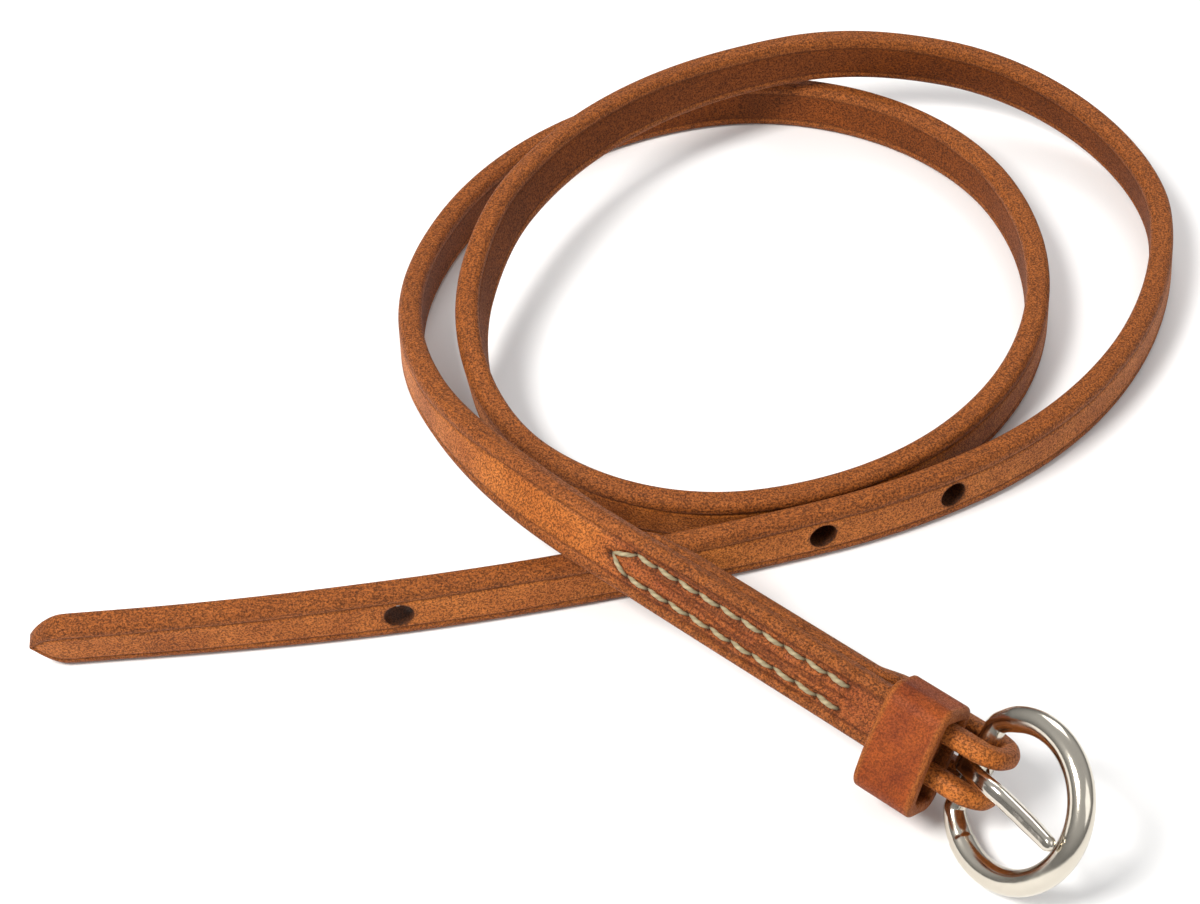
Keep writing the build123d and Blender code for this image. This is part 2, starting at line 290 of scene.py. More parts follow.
# the seam: holes along the upper row, round the point and back along the lower row
stitch_row = 1.85          # rows each side of the middle
stitch_pitch = 3.8
stitch_start = 19.9        # heel bar to the first holes
row_holes = 11
row_x = -stitch_start - stitch_pitch * np.arange(row_holes)
seam = np.array([(x, stitch_row) for x in row_x] + [(row_x[-1] - stitch_pitch, 0.0)]
                + [(x, -stitch_row) for x in row_x[::-1]])


def seam_marks(x, y):
    """Distance from each face point to the line of the seam and to its holes."""
    point = np.stack([x, y], -1)[..., None, :]
    a, b = seam[:-1], seam[1:]
    t = np.clip(((point - a) * (b - a)).sum(-1) / ((b - a) ** 2).sum(-1), 0, 1)
    line = np.linalg.norm(point - a - t[..., None] * (b - a), axis=-1).min(-1)
    holes = np.linalg.norm(point - seam, axis=-1).min(-1)
    return line, holes


def wrinkles(x, y):
    """Long shallow folds pressed in by the stitching, as bells about wavy lines.

    Each fold has its distance from the middle of the strap and the two places, back
    from the heel bar, between which it runs.
    """
    fold_width = 0.21
    folds = 0 * x
    for k, (home, first, last) in enumerate((
            (0.95, -60, -34), (0.35, -56, -20), (-0.45, -52, -24), (-0.95, -45, -17),
            (0.05, -38, -15), (3.05, -58, -30), (-3.0, -50, -22), (2.9, -30, -15))):
        wave = home + 0.16 * np.sin(x / 3.3 + 1.7 * k) + 0.10 * np.sin(x / 1.4 + k)
        reach = ease((x - first) / 5) * ease((last - x) / 5)
        folds = np.maximum(folds, reach * bell(y - wave, fold_width))
    return folds


def leather_strip(skin, place, across, out, s, half_w, half_t, end_x_at, flesh_side,
                  round_r=edge_round, face_points=26):
    """Rounded strip: ring of half sizes carried along the path, creased and grooved.

    The creases and the stitching groove lower the outer face by bell curves of the
    distance to them; the masks say where edge, flesh side and stitch holes are, and
    carry painted shade: the crease mask darkens the crease lines, part their own
    burnished tone and part painted shade in the groove, and adds painted shade in the
    stitch folds; the holes mask is painted shade in the stitch holes and along the seam.
    """
    ring = round_ring(face_points, 6, 4)
    wide, thick = ring_points(ring, half_w, half_t, np.minimum(round_r, half_w * 0.98))
    on_face = (ring[3] > 0.999)[None, :]
    on_flesh = (ring[3] < -0.999)[None, :]
    wander = 0.10 * np.sin(s / 9.0)[:, None] + 0.06 * np.sin(s / 3.7 + 1)[:, None]
    crease = bell(abs(wide) - (np.atleast_1d(half_w)[:, None] - crease_in + wander), 0.20)
    grain_face = on_flesh if flesh_side else on_face
    other_face = on_face if flesh_side else on_flesh
    sign = -1 if flesh_side else 1
    thick = thick - sign * (grain_face - 0.55 * other_face) * crease_depth * crease
    end_x_grid = np.broadcast_to(end_x_at[:, None], wide.shape)
    line, holes = seam_marks(end_x_grid, wide)
    near = grain_face * (end_x_at[:, None] > seam[:, 0].min() - 3)
    folds = wrinkles(end_x_grid, wide)
    thick = thick - sign * near * (0.40 * bell(line, 0.55) + 0.45 * bell(holes, 0.36)
                                   - 0.12 * bell(line - 1.1, 0.5) + 0.34 * folds)
    grid = (place[:, None] + across[:, None] * wide[..., None]
            + out[:, None] * thick[..., None])
    from_edge = np.atleast_1d(half_w)[:, None] - abs(wide)
    edge = np.where(on_face | on_flesh, bell(np.maximum(from_edge - 1.35, 0), 0.40), 1.0)
    # crease: the crease lines' darkening, part own tone and part painted shade, plus
    # painted shade in the stitch folds; holes: painted shade in the stitch holes and along
    # the seam line; sewn: the stitched band
    skin.add(grid, s * mm, np.cumsum(np.hypot(
        np.diff(wide, axis=1, prepend=wide[:, :1]),
        np.diff(thick, axis=1, prepend=thick[:, :1])), axis=1) * mm,
        edge=edge, crease=np.maximum((grain_face + 0.8 * other_face) * crease,
                                     0.85 * near * folds),
        flesh=other_face * (1 - edge),
        holes=near * np.maximum(0.95 * bell(np.maximum(holes - 0.25, 0), 0.32),
                                0.38 * bell(line, 0.62)),
        sewn=near * ease((end_x_at[:, None] + 66) / 8) * np.maximum(
            0.80 * bell(np.maximum(abs(wide) - 2.6, 0), 1.2), folds))


half_width, half_thick = strap_width / 2, strap_thick / 2
slot_back = 5.0            # tongue's slot behind the heel bar
slot_half = 1.8            # half its width
coil_step, fine_step, punch_step, punch_reach = 1.35, 0.42, 0.36, 3.6
fine_start = sewn_start - 6
stations = [np.linspace(0.0, tip_length, 26)[:-1],
            np.arange(tip_length, fine_start, coil_step),
            np.arange(fine_start, strap_run - slot_back, fine_step),
            [strap_run - slot_back]]
for middle in punch_places:
    stations.append(np.arange(middle - punch_reach, middle + punch_reach + 0.01,
                              punch_step))
s = np.unique(np.round(np.concatenate(stations), 3))
s = s[np.concatenate([[True], np.diff(s) > 0.12])]
place, across, out, _ = strap_frame(s)
from_tip = np.clip(1 - (s + 0.02) / tip_taper, 0, 1)
half_w = half_width * (1 - from_tip ** tip_roundness[0]) ** tip_roundness[1]
# cut and worn by hand: the width and thickness wander by a few hundredths
half_w = half_w * (1 + 0.006 * np.sin(s / 23.0) + 0.004 * np.sin(s / 7.1 + 1))
half_t = half_thick * (0.62 + 0.38 * ease(s / 5.0)) * (1 + 0.012 * np.sin(s / 31.0 + 2))
round_r = np.minimum(edge_round, 0.98 * np.minimum(half_w, half_t))
skin = Skin()
leather_strip(skin, place, across, out, s, half_w, half_t, s - strap_run, False,
              round_r, 30)

# the folded-back layer: parts from the bar, closes on the front, is skived to a point
fold_in = bar_dia / 2 + bar_clear
gap_open, gap_blend = 14.3, 4.9        # where the layers start to close, and over what
skive_start, skive_length = 52.6, 11.4
skive_take = 1.75                      # taken off its half thickness by the end
layer_gap = 0.1                        # between the sewn layers
bar_drift = 0.5                        # the layer eases inward before it closes
x = -np.concatenate([np.arange(slot_back, 24, 0.45), np.arange(24, 64.01, 0.6)])
part = ease((-x - gap_open) / gap_blend)
thin = ease(0.5 + np.clip((-x - skive_start) / skive_length, 0, 1) / 2) * 2 - 1
half_back = half_thick - skive_take * thin
open_z = -(fold_in + half_thick) + bar_drift * np.clip(-x / gap_open, 0, 1)
mid_z = open_z * (1 - part) + part * (fold_in - layer_gap - half_back)
local = np.stack([x, 0 * x, mid_z], 1)
back_w = half_width * (1 - 0.55 * ease((-x - 58) / 6.0))
tilt = np.gradient(mid_z, x)
back_out = end_z[None] * np.cos(np.arctan(tilt))[:, None] - end_x[None] * np.sin(
    np.arctan(tilt))[:, None]
leather_strip(skin, from_end(local), np.repeat(end_y[None], len(x), 0), back_out,
              strap_run + 12 - x, back_w, half_back, x, True,
              np.minimum(edge_round, 0.9 * half_back), 22)

# two lobes, left by the tongue's slot, carried round the heel bar in a half circle
bend_r = fold_in + half_thick
turn = np.radians(np.linspace(90, -90, 34))
slim = 0.42 * np.cos(turn) ** 2                            # leather drawn thin here
lead = np.linspace(-slot_back - 1.2, -0.4, 10)
lobe_x = np.concatenate([lead, (bend_r - slim) * np.cos(turn), lead[::-1]])
lobe_z = np.concatenate([0 * lead + bend_r, (bend_r - slim) * np.sin(turn),
                         -bend_r - 0.035 * lead[::-1]])
lobe_thin = np.concatenate([0 * lead, slim, 0 * lead])
lobe_out = np.stack([np.concatenate([0 * lead, np.cos(turn), 0 * lead]),
                     np.concatenate([0 * lead + 1, np.sin(turn), 0 * lead - 1])], 1)
lobe_half = (half_width - slot_half) / 2
lobe_round = 1.20          # rounding of its edges
for side in (1, -1):
    local = np.stack([lobe_x, 0 * lobe_x + side * (slot_half + lobe_half), lobe_z], 1)
    round_bend = np.clip((lobe_x + 0.5) / 2.0, 0, 1)
    belly = 1 - 0.05 * round_bend
    ring = round_ring(10, 7, 4)
    dents = 0.05 * np.sin(np.arange(len(lobe_x)) * 0.7 + side) * round_bend
    wide, thick = ring_points(ring, lobe_half * belly,
                              half_thick - 0.03 - lobe_thin + dents,
                              lobe_round + 0 * lobe_x)
    outward = lobe_out[:, :1] * end_x + lobe_out[:, 1:] * end_z
    grid = (from_end(local)[:, None] + end_y * wide[..., None]
            + outward[:, None] * thick[..., None])
    skin.add(grid, (strap_run + np.arange(len(lobe_x)) * 0.35) * mm,
             np.linspace(0, 12, wide.shape[1]) * mm,
             edge=0.55 * bell(np.maximum(lobe_half - abs(wide) - 0.2, 0), 0.5)
             + 0 * thick, flesh=(ring[3] < -0.999) * 1.0)
strap = skin.build("strap_leather")

# punched holes: round cutters driven straight through, a little wider at the grain
punch_mid, punch_w, punch_n, punch_t = strap_frame(np.array(punch_places))
for k in range(len(punch_places)):
    depth = np.array([-3.2, 1.55, 1.8, 2.0, 2.2, 3.2])
    radius = punch_dia / 2 + np.array([0, 0, 0.05, 0.16, 0.36, 0.5])
    angle = np.linspace(0, 2 * np.pi, 48, endpoint=False)
    wall = (punch_mid[k] + punch_n[k] * depth[:, None, None]
            + radius[:, None, None] * (np.cos(angle)[None, :, None] * punch_t[k]
                                       + np.sin(angle)[None, :, None] * punch_w[k]))
    # the cutter's walls carry painted shade over to the hole walls that it cuts
    cutter_skin = Skin()
    cutter_skin.add(wall, depth * mm, angle * 0.001, edge=1.0, crease=0.0, flesh=0.0,
                    holes=0.55, sewn=0.0)
    cutter = cutter_skin.build("punch")
    cut = strap.modifiers.new("punch", "BOOLEAN")
    cut.operation, cut.solver, cut.object = "DIFFERENCE", "EXACT", cutter
    ready = strap.evaluated_get(bpy.context.evaluated_depsgraph_get())
    punched = bpy.data.meshes.new_from_object(ready)
    strap.modifiers.clear()
    strap.data = punched
    bpy.data.objects.remove(cutter)

# painted shade in each hole: full on its wall, fading just outside its rim
spots = np.empty(len(strap.data.vertices) * 3)
strap.data.vertices.foreach_get("co", spots)
spots = spots.reshape(-1, 3) / mm
hole_wall_shade = np.empty(len(spots))
strap.data.attributes["holes"].data.foreach_get("value", hole_wall_shade)
for middle, axis in zip(punch_mid, punch_n):
    deep = (spots - middle) @ axis
    beside = np.linalg.norm(spots - middle - deep[:, None] * axis, axis=1)
    wall = ease((punch_dia / 2 + 0.62 - beside) / 0.5) * (abs(deep) < half_thick + 0.4)
    hole_wall_shade = np.maximum(hole_wall_shade, wall * np.where(deep > 1.9, 0.45, 0.86))
strap.data.attributes["holes"].data.foreach_set("value", hole_wall_shade.astype(np.float32))


# -- leather finish, shared by the strap and the keeper as a node group
def put(tree, kind, links=(), **values):
    """Add a shader node, set its named inputs or properties and wire it up."""
    node = tree.nodes.new(kind)
    for key, value in values.items():
        if key.startswith("set_"):
            setattr(node, key[4:], value)
        else:
            node.inputs[key.replace("_", " ")].default_value = value
    for source, target in links:
        tree.links.new(source, node.inputs[target])
    return node


def blend_colour(tree, factor, under, over, how="MIX"):
    """A colour Mix node; factor, under and over are sockets or plain values."""
    node = tree.nodes.new("ShaderNodeMix")
    node.data_type, node.blend_type = "RGBA", how
    for slot, value in ((0, factor), (6, under), (7, over)):
        if isinstance(value, bpy.types.NodeSocket):
            tree.links.new(value, node.inputs[slot])
        else:
            node.inputs[slot].default_value = value
    return node.outputs[2]


def compute(tree, how, *values):
    """A Math node on sockets or plain numbers."""
    node = tree.nodes.new("ShaderNodeMath")
    node.operation = how
    for slot, value in enumerate(values):
        if isinstance(value, bpy.types.NodeSocket):
            tree.links.new(value, node.inputs[slot])
        else:
            node.inputs[slot].default_value = value
    return node.outputs[0]


hide = bpy.data.node_groups.new("hide_grain", "ShaderNodeTree")
hide.interface.new_socket("Patch size", in_out="INPUT", socket_type="NodeSocketFloat")
hide.interface.new_socket("Grain size", in_out="INPUT", socket_type="NodeSocketFloat")
hide.interface.new_socket("Patches", in_out="OUTPUT", socket_type="NodeSocketFloat")
hide.interface.new_socket("Fleck", in_out="OUTPUT", socket_type="NodeSocketFloat")
hide.interface.new_socket("Fibre", in_out="OUTPUT", socket_type="NodeSocketFloat")
hide.interface.new_socket("Height", in_out="OUTPUT", socket_type="NodeSocketFloat")
hide_in = put(hide, "NodeGroupInput")
hide_out = put(hide, "NodeGroupOutput")
hide_at = put(hide, "ShaderNodeTexCoord")
patch = put(hide, "ShaderNodeTexNoise", [(hide_at.outputs["Object"], "Vector"),
            (hide_in.outputs["Patch size"], "Scale")], Detail=5.0, Roughness=0.62)
fleck = put(hide, "ShaderNodeTexNoise", [(hide_at.outputs["Object"], "Vector"),
            (hide_in.outputs["Grain size"], "Scale")], Detail=2.0, Roughness=0.8)
pebble = put(hide, "ShaderNodeTexVoronoi", [(hide_at.outputs["Object"], "Vector"),
             (hide_in.outputs["Grain size"], "Scale")], Randomness=1.0)
run_along = put(hide, "ShaderNodeMapping", [(hide_at.outputs["UV"], "Vector")])
run_along.inputs["Scale"].default_value = (480, 1900, 1)
fibre = put(hide, "ShaderNodeTexNoise", [(run_along.outputs[0], "Vector")],
            Scale=1.0, Detail=4.0, Roughness=0.65, Distortion=0.6)
grain_height = compute(hide, "ADD", compute(hide, "MULTIPLY", fleck.outputs[0], 0.7),
                       compute(hide, "MULTIPLY", pebble.outputs[0], 0.5))
for socket, name in ((patch.outputs[0], "Patches"), (fleck.outputs[0], "Fleck"),
                     (fibre.outputs[0], "Fibre"), (grain_height, "Height")):
    hide.links.new(socket, hide_out.inputs[name])


def leather(name, light, dark, edge_light, edge_dark, flesh, patch_size, grain_size,
            roughness, speckle):
    """Dyed leather: patches and flecks on the grain, rough fibre along cut edges, and
    painted shade in the holes, creases and stitch folds.
    """
    material = bpy.data.materials.new(name)
    material.use_nodes = True
    tree = material.node_tree
    shader = tree.nodes["Principled BSDF"]
    grain = put(tree, "ShaderNodeGroup", set_node_tree=hide)
    grain.inputs["Patch size"].default_value = patch_size
    grain.inputs["Grain size"].default_value = grain_size
    masks = {key: put(tree, "ShaderNodeAttribute", set_attribute_name=key).outputs["Fac"]
             for key in ("edge", "crease", "flesh", "holes", "sewn")}
    patches = put(tree, "ShaderNodeMapRange", [(grain.outputs["Patches"], "Value")])
    patches.inputs["From Min"].default_value = 0.34
    patches.inputs["From Max"].default_value = 0.66
    flecks = put(tree, "ShaderNodeMapRange", [(grain.outputs["Fleck"], "Value")])
    flecks.inputs["From Min"].default_value = 0.41
    flecks.inputs["From Max"].default_value = 0.59
    fibres = put(tree, "ShaderNodeMapRange", [(grain.outputs["Fibre"], "Value")])
    fibres.inputs["From Min"].default_value = 0.36
    fibres.inputs["From Max"].default_value = 0.64
    face = blend_colour(tree, patches.outputs[0], (*dark, 1), (*light, 1))
    pores = compute(tree, "MULTIPLY_ADD", flecks.outputs[0], -speckle,
                    0.95 + speckle / 2)
    # the stitched band is darkened, then streaked with painted shade along the fibre noise,
    # standing for the shade in its folds
    wrinkle_streak_shade = compute(tree, "MULTIPLY", masks["sewn"], compute(
        tree, "SUBTRACT", 1.0, fibres.outputs[0]))
    face = blend_colour(tree, compute(tree, "MULTIPLY", masks["sewn"], 0.50), face,
                        (light[0] * 0.50, light[1] * 0.34, light[2] * 0.6, 1))
    face = blend_colour(tree, compute(tree, "MULTIPLY", wrinkle_streak_shade, 0.75), face,
                        (light[0] * 0.40, light[1] * 0.26, light[2] * 0.4, 1))
    inner = blend_colour(tree, patches.outputs[0], tuple(0.72 * c for c in flesh) + (1,),
                         (*flesh, 1))
    colour = blend_colour(tree, masks["flesh"], face, inner)
    rim = blend_colour(tree, compute(tree, "MULTIPLY_ADD", fibres.outputs[0], 0.75, 0.25),
                       (*edge_dark, 1), (*edge_light, 1))
    colour = blend_colour(tree, compute(tree, "MULTIPLY", masks["edge"], 0.85), colour,
                          rim)
    colour = blend_colour(tree, 1.0, colour, pores, "MULTIPLY")
    # crease lines darkened, part their own burnished tone and part painted shade in the
    # groove; painted shade in the stitch folds too
    colour = blend_colour(tree, compute(tree, "MULTIPLY", masks["crease"], 0.72), colour,
                          tuple(0.5 * c for c in edge_dark) + (1,))
    # painted shade: stitch holes, the seam line and the punched hole walls darkened nearly
    # to black
    colour = blend_colour(tree, compute(tree, "MULTIPLY", masks["holes"], 0.92), colour,
                          (0.012, 0.006, 0.004, 1))
    tree.links.new(colour, shader.inputs["Base Color"])
    worn = compute(tree, "ADD", compute(tree, "MULTIPLY", flecks.outputs[0], 0.16),
                   roughness)
    worn = compute(tree, "ADD", worn, compute(tree, "MULTIPLY", masks["flesh"], 0.12))
    tree.links.new(worn, shader.inputs["Roughness"])
    shader.inputs["Specular IOR Level"].default_value = 0.20
    relief = compute(tree, "ADD", compute(tree, "MULTIPLY", grain.outputs["Height"], 0.5),
                     compute(tree, "MULTIPLY", fibres.outputs[0], compute(
                         tree, "ADD", compute(tree, "MULTIPLY", masks["edge"], 0.8),
                         compute(tree, "MULTIPLY", masks["sewn"], 0.9))))
    bump = put(tree, "ShaderNodeBump", [(relief, "Height")], Strength=0.65,
               Distance=0.00022)
    tree.links.new(bump.outputs[0], shader.inputs["Normal"])
    return material


strap.data.materials.clear()
strap.data.materials.append(leather(
    "russet_strap_leather", light=(0.43, 0.132, 0.023), dark=(0.28, 0.074, 0.010),
    edge_light=(0.27, 0.075, 0.013), edge_dark=(0.115, 0.028, 0.005),
    flesh=(0.175, 0.041, 0.004), patch_size=90.0, grain_size=3100.0, roughness=0.55,
    speckle=1.05))
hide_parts("strap")
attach(strap, "strap_body")

# ------------------------------------------------------------------ stitching
# Two waxed linen threads in a lockstitch, one seen on the face and one on the back.
# Each stitch lies aslant in its groove and dives into an awl hole at both ends.
thread_radius = 0.36
twist_per_stitch = 1.6


def stitches(name, node, heights_at, side):
    """Two-ply twisted stitches: a lobed section turned along an arched path."""
    seam_skin = Skin()
    t = np.linspace(0, 1, 22)
    phi = np.linspace(0, 2 * np.pi, 14, endpoint=False)
    rng = np.random.default_rng(7)
    for i, (a, b) in enumerate(zip(seam[:-1], seam[1:])):
        along = (b - a) / np.linalg.norm(b - a)
        beside = np.array([-along[1], along[0]])
        slant = 0.24 + 0.06 * rng.random()
        plan = (a + (b - a) * t[:, None] + beside * (slant * (0.5 - t) * 1.6)[:, None])
        arch = np.sin(np.pi * t) ** 0.75
        surface = heights_at[i] + (heights_at[i + 1] - heights_at[i]) * t
        height = surface + side * (thread_radius * 0.55 * arch - 0.75 * (1 - arch))
        line = np.column_stack([plan, height])
        tangent = np.gradient(line, axis=0)
        tangent /= np.linalg.norm(tangent, axis=1)[:, None]
        flat = np.append(beside, 0.0)
        lift_dir = np.cross(tangent, flat)
        lift_dir /= np.linalg.norm(lift_dir, axis=1)[:, None]
        end_stitch = 1.14 if i in (0, len(seam) - 2) else 1.0
        thick = thread_radius * end_stitch * (0.72 + 0.28 * arch)
        ply = phi[None, :] + 2 * np.pi * twist_per_stitch * t[:, None]
        radius = thick[:, None] * (0.86 + 0.17 * np.abs(np.cos(ply)))
        grid = (line[:, None] + radius[..., None] * (
            np.cos(phi)[None, :, None] * flat + np.sin(phi)[None, :, None]
            * lift_dir[:, None]))
        # the two masks carry painted shade: in the grooves between the plies, and where the
        # stitch dives into its hole
        seam_skin.add(from_end(grid.reshape(-1, 3)).reshape(grid.shape),
                      (i + t) * stitch_pitch * mm, phi * thread_radius * mm,
                      groove=1 - np.abs(np.cos(ply)), dip=(1 - arch)[:, None] + 0 * ply)
    piece = seam_skin.build(name)
    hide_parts(node)
    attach(piece, "strap_body")
    return piece


fold_out = fold_in + strap_thick
back_face = fold_in - layer_gap - strap_thick
seat = 0.30                # thread lies this deep in its groove
face_thread = stitches("face_stitches", "thread_face",
                       [fold_out - seat] * len(seam), 1)
back_thread = stitches("back_stitches", "thread_back", [
    back_face + max(seat, (-x - skive_start) * 2 * skive_take / skive_length)
    for x, y in seam], -1)

linen = bpy.data.materials.new("waxed_linen")
linen.use_nodes = True
linen_tree = linen.node_tree
linen_at = put(linen_tree, "ShaderNodeTexCoord")
lint = put(linen_tree, "ShaderNodeTexNoise", [(linen_at.outputs["Object"], "Vector")],
           Scale=1700.0, Detail=4.0, Roughness=0.6)
groove = put(linen_tree, "ShaderNodeAttribute", set_attribute_name="groove")
dip = put(linen_tree, "ShaderNodeAttribute", set_attribute_name="dip")
thread_colour = blend_colour(linen_tree, lint.outputs[0], (0.24, 0.19, 0.095, 1),
                             (0.52, 0.44, 0.27, 1))
# painted shade: darker in the grooves between the plies, and near black where each stitch
# dives into its awl hole
thread_colour = blend_colour(linen_tree, compute(
    linen_tree, "MULTIPLY", groove.outputs["Fac"], 0.5), thread_colour,
    (0.09, 0.065, 0.03, 1))
thread_colour = blend_colour(linen_tree, compute(
    linen_tree, "MULTIPLY", dip.outputs["Fac"], 0.9), thread_colour, (0.05, 0.03, 0.015, 1))
linen_shader = linen_tree.nodes["Principled BSDF"]
linen_tree.links.new(thread_colour, linen_shader.inputs["Base Color"])
linen_shader.inputs["Roughness"].default_value = 0.72
linen_bump = put(linen_tree, "ShaderNodeBump", [(lint.outputs[0], "Height")],
                 Strength=0.5, Distance=0.0001)
linen_tree.links.new(linen_bump.outputs[0], linen_shader.inputs["Normal"])
for piece in (face_thread, back_thread):
    piece.data.materials.append(linen)

# ------------------------------------------------------------------ keeper
# A strip of redder leather bent into a loop round the front layer only.  Its ends
# butt behind that layer; it lies slack, hanging below the strap's lower edge.
keeper_wall = 2.2
keeper_width = 9.5
keeper_edge = 3.7          # its near edge, behind the heel bar
keeper_fit = 0.3           # round the front layer at the top and back
keeper_front = 1.3         # slack in front of the strap
keeper_below = 2.5         # slack under the strap's lower edge
butt_half = 0.08           # half the butt joint
keeper_x = -keeper_edge - keeper_width / 2
keeper_back = fold_in - keeper_fit - keeper_wall / 2       # mid-line of each wall
keeper_face = fold_out + keeper_front + keeper_wall / 2
keeper_top = half_width + keeper_fit + keeper_wall / 2
keeper_low = -half_width - keeper_below - keeper_wall / 2
# each corner's place (y, z) and the radius of the mid-line round it
corners = (((keeper_top, keeper_back), 1.4), ((keeper_top, keeper_face), 1.7),
           ((keeper_low, keeper_face), 2.0), ((keeper_low, keeper_back), 1.5))
loop_line, loop_out = [np.array([[butt_half, keeper_back]])], [np.array([[0.0, -1.0]])]
first_turn = -90.0
for k, ((y, z), r) in enumerate(corners):
    angle = np.radians(first_turn + 90 * k + np.linspace(0, 90, 11))
    sy, sz = (1, 1, -1, -1)[k], (-1, 1, 1, -1)[k]
    arc = np.stack([np.cos(angle), np.sin(angle)], 1)
    loop_line.append(np.array([y - sy * r, z - sz * r]) + r * arc)
    loop_out.append(arc)
loop_line.append(np.array([[-butt_half, keeper_back]]))
loop_out.append(np.array([[0.0, -1.0]]))
loop_line, loop_out = np.concatenate(loop_line), np.concatenate(loop_out)
reach = np.concatenate([[0], np.cumsum(np.linalg.norm(np.diff(loop_line, axis=0),
                                                      axis=1))])
even = np.linspace(0, reach[-1], 150)
loop_yz = np.stack([np.interp(even, reach, loop_line[:, k]) for k in (0, 1)], 1)
loop_n = np.stack([np.interp(even, reach, loop_out[:, k]) for k in (0, 1)], 1)
loop_n /= np.linalg.norm(loop_n, axis=1)[:, None]
# the slack front wall bows out a little and the strip is not quite even in width
bow = 0.35 * ease((loop_yz[:, 1] - fold_out) / 3) * bell(loop_yz[:, 0] + 1.5, 5.0)
loop_yz = loop_yz + loop_n * bow[:, None]
half_strip = keeper_width / 2 * (0.985 + 0.012 * np.sin(even / 3.1))
ring = round_ring(22, 6, 4)
wide, thick = ring_points(ring, half_strip, keeper_wall / 2 + 0 * even, 0.62 + 0 * even)
line = np.column_stack([np.full(len(even), keeper_x), loop_yz])
outward = np.column_stack([0 * even, loop_n])
shift = 0.18 * np.sin(even / 5.3 + 1.0) - 0.07 * loop_yz[:, 0]  # sits a little askew
grid = (line[:, None] + np.array([1.0, 0, 0]) * (wide + shift[:, None])[..., None]
        + outward[:, None] * thick[..., None])
keeper_skin = Skin()
from_edge = half_strip[:, None] - abs(wide)
keeper_edge = np.where(abs(ring[3])[None] > 0.999,
                       0.7 * bell(np.maximum(from_edge - 0.55, 0), 0.3), 0.9)
keeper_skin.add(from_end(grid.reshape(-1, 3)).reshape(grid.shape), even * mm,
                np.linspace(0, 23, wide.shape[1]) * mm, edge=keeper_edge,
                crease=0.0, flesh=(ring[3] < -0.999) * 1.0, holes=0.0, sewn=0.0)
keeper = keeper_skin.build("keeper_leather")
keeper.data.materials.append(leather(
    "red_keeper_leather", light=(0.275, 0.055, 0.006), dark=(0.155, 0.025, 0.003),
    edge_light=(0.38, 0.118, 0.022), edge_dark=(0.18, 0.040, 0.007),
    flesh=(0.20, 0.052, 0.008), patch_size=230.0, grain_size=3400.0,
    roughness=0.52, speckle=0.62))
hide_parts("keeper_loop")
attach(keeper, "keeper_body")

# The butt joint is closed by a plain wire staple, its crown sunk in the leather on
# the side that the front layer hides.
staple_wire = bpy.data.materials.new("staple_wire")
staple_wire.use_nodes = True
staple_tree = staple_wire.node_tree
staple_shader = staple_tree.nodes["Principled BSDF"]
staple_at = put(staple_tree, "ShaderNodeTexCoord")
drawn = put(staple_tree, "ShaderNodeTexNoise", [(staple_at.outputs["Object"], "Vector")],
            Scale=3000.0, Detail=2.0)
staple_tree.links.new(blend_colour(staple_tree, drawn.outputs[0], (0.50, 0.49, 0.47, 1),
                                   (0.66, 0.65, 0.63, 1)),
                      staple_shader.inputs["Base Color"])
staple_shader.inputs["Metallic"].default_value = 1.0
staple_shader.inputs["Roughness"].default_value = 0.38
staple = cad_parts["keeper_staple"]

# ------------------------------------------------------------------ buckle frame
# A heavy round-wire ring cast in one with its straight heel bar, then bright nickel
# plated.  It swings on the fold, and stands up a little from the strap.
ring_wire = 3.8
ring_radius = 11.1
side_clear = 0.35          # strap's edge to the ring wire beside it
bar_wire = 1.58            # radius of the heel bar, just inside the tongue's eye
bar_half = half_width + side_clear + ring_wire / 2
ring_centre = math.sqrt(ring_radius**2 - bar_half**2)
swing = math.radians(24)                                   # stands up from the strap
ring_x = end_x * math.cos(swing) + end_z * math.sin(swing)
ring_z = end_z * math.cos(swing) - end_x * math.sin(swing)


def from_ring(points):
    """Points of the ring's frame, origin on the heel bar, in the object's."""
    return bar_place + points @ np.stack([ring_x, end_y, ring_z])


open_angle = math.pi - math.asin(bar_half / ring_radius)
arc = np.linspace(-open_angle, open_angle, 240)
bar_y = np.linspace(bar_half, -bar_half, 62)[1:-1]
ring_line = np.concatenate([
    np.stack([ring_centre + ring_radius * np.cos(arc), ring_radius * np.sin(arc)], 1),
    np.stack([0 * bar_y, bar_y], 1)])
for _ in range(6):                                         # round the two shoulders
    ring_line = (np.roll(ring_line, 1, 0) + 2 * ring_line + np.roll(ring_line, -1, 0)) / 4
# wire radius: full round the rim, slimmer along the bar, a cast step at one shoulder
from_bar = np.clip(ring_line[:, 0] / 3.0, 0, 1)
wire = bar_wire + (ring_wire / 2 - bar_wire) * ease(from_bar)
lower_limb = ring_line[:, 1] < 0
cast_step, step_place = 0.10, 3.4
step_at = ease((ring_line[:, 0] - step_place) / 0.5) * lower_limb
wire = wire - cast_step * lower_limb * ease(from_bar) * (1 - step_at)
tangent = (np.roll(ring_line, -1, 0) - np.roll(ring_line, 1, 0))
tangent /= np.linalg.norm(tangent, axis=1)[:, None]
beside = np.stack([tangent[:, 1], -tangent[:, 0]], 1)
phi = np.linspace(0, 2 * np.pi, 32, endpoint=False)
centre = np.column_stack([ring_line, 0 * ring_line[:, 0]])
side_dir = np.column_stack([beside, 0 * ring_line[:, 0]])
grid = (centre[:, None] + wire[:, None, None] * (
    np.cos(phi)[None, :, None] * side_dir[:, None]
    + np.sin(phi)[None, :, None] * np.array([0.0, 0, 1.0])))
ring_skin = Skin()
ring_skin.add(from_ring(grid.reshape(-1, 3)).reshape(grid.shape),
              np.arange(len(ring_line)) * 0.3 * mm, phi * ring_wire / 2 * mm, loop=True)
buckle = ring_skin.build("buckle_ring")
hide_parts("buckle_frame")
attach(buckle, "frame_body")

